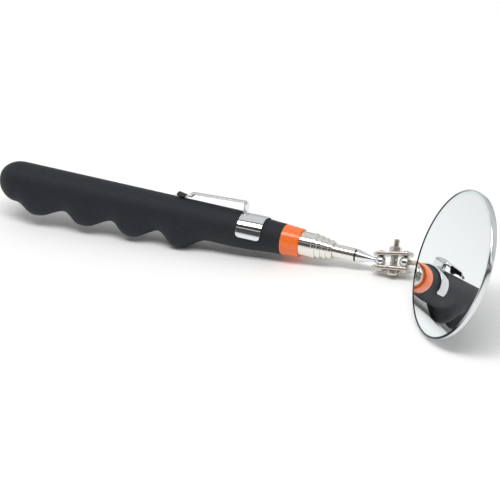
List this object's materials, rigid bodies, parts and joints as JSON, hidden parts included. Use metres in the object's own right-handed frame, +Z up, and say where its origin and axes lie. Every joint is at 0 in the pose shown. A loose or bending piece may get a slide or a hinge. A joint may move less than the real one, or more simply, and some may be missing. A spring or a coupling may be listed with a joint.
{
  "type": "telescoping inspection mirror",
  "caption": "Inspection mirror: round framed mirror on a double ball clamp and a telescoping rod, with a finger grip and pocket clip.",
  "frame": {"origin": "centre of the bounding box's footprint on the table the tool lies on, at the table's height", "axes": "+Z up from the table, +X along the tool's length towards the mirror, -Y the side the mirror is turned to"},
  "size_m": [0.2876, 0.0764, 0.067],
  "materials": {
    "grip_rubber": "moulded black vinyl grip, fine matt grain",
    "collar_plastic": "glossy orange moulded plastic",
    "clip_chrome": "bright chromed spring steel",
    "plug_plastic": "black moulded plastic",
    "tube_nickel": "bright nickel-plated drawn tube",
    "rod_nickel": "bright nickel-plated drawn tube",
    "spring_brass": "rolled spring brass",
    "guide_plastic": "natural nylon",
    "tip_chrome": "turned and chromed tip",
    "ball_nickel": "polished nickel-plated ball",
    "stud_steel": "drawn steel stud",
    "clamp_nickel": "pressed steel, warm nickel plate",
    "screw_nickel": "nickel-plated steel screw",
    "bezel_steel": "spun stainless steel rim",
    "mirror_glass": "silvered flat glass",
    "backing_card": "grey backing card",
    "back_steel": "rolled steel disc",
    "lug_steel": "plated steel"
  },
  "bodies": {
    "handle": {"grip": "grip_rubber", "collar": "collar_plastic", "pocket_clip": "clip_chrome", "rear_plug": "plug_plastic", "outer_tube": "tube_nickel"},
    "stage_1": {"tube_1": "tube_nickel", "friction_sleeve_1": "spring_brass"},
    "stage_2": {"tube_2": "tube_nickel", "friction_sleeve_2": "spring_brass"},
    "stage_3": {"tube_3": "tube_nickel", "friction_sleeve_3": "spring_brass", "mouth_bush": "tube_nickel"},
    "guide": {"rod_guide": "guide_plastic"},
    "rod": {"rod": "rod_nickel", "rod_tip": "tip_chrome", "rod_ball": "ball_nickel"},
    "clamp": {"lower_plate": "clamp_nickel", "upper_plate": "clamp_nickel", "seat_washer": "clamp_nickel", "lock_washer": "clamp_nickel", "clamp_nut": "clamp_nickel"},
    "screw": {"clamp_screw": "screw_nickel"},
    "swivel_ball": {"stud_ball": "ball_nickel"},
    "mirror_head": {"stud": "stud_steel", "stud_lug": "lug_steel", "lug_rivets": "lug_steel", "back_plate": "back_steel", "backing_pad": "backing_card", "mirror_glass": "mirror_glass", "bezel": "bezel_steel"}
  },
  "joints": [
    {"name": "stage_1_slide", "type": "slide", "parent": "handle", "child": "stage_1", "axis": [0.9976, 0, -0.0698], "range_m": [0, 0.132]},
    {"name": "stage_2_slide", "type": "slide", "parent": "stage_1", "child": "stage_2", "axis": [0.9976, 0, -0.0698], "range_m": [0, 0.132]},
    {"name": "stage_3_slide", "type": "slide", "parent": "stage_2", "child": "stage_3", "axis": [0.9976, 0, -0.0698], "range_m": [0, 0.132]},
    {"name": "rod_slide", "type": "slide", "parent": "stage_3", "child": "guide", "axis": [0.9976, 0, -0.0698], "range_m": [0, 0.132]},
    {"name": "rod_swivel", "type": "hinge", "parent": "guide", "child": "rod", "pos_m": [0.01788, 0.02884, 0.00947], "axis": [0.9976, 0, -0.0698], "continuous": true},
    {"name": "clamp_swing", "type": "hinge", "parent": "rod", "child": "clamp", "pos_m": [0.05968, 0.02884, 0.00654], "axis": [-0.0612, 0.6269, 0.7767], "range_deg": [-90, 90]},
    {"name": "screw_turn", "type": "hinge", "parent": "clamp", "child": "screw", "pos_m": [0.06666, 0.02905, 0.00693], "axis": [-0.0612, 0.6269, 0.7767], "range_deg": [-90, 0]},
    {"name": "mirror_swing", "type": "hinge", "parent": "clamp", "child": "swivel_ball", "pos_m": [0.07253, 0.0295, 0.0076], "axis": [-0.0612, 0.6269, 0.7767], "range_deg": [-55, 130]},
    {"name": "mirror_turn", "type": "hinge", "parent": "swivel_ball", "child": "mirror_head", "pos_m": [0.07253, 0.0295, 0.0076], "axis": [0.7429, -0.5454, 0.388], "continuous": true}
  ]
}
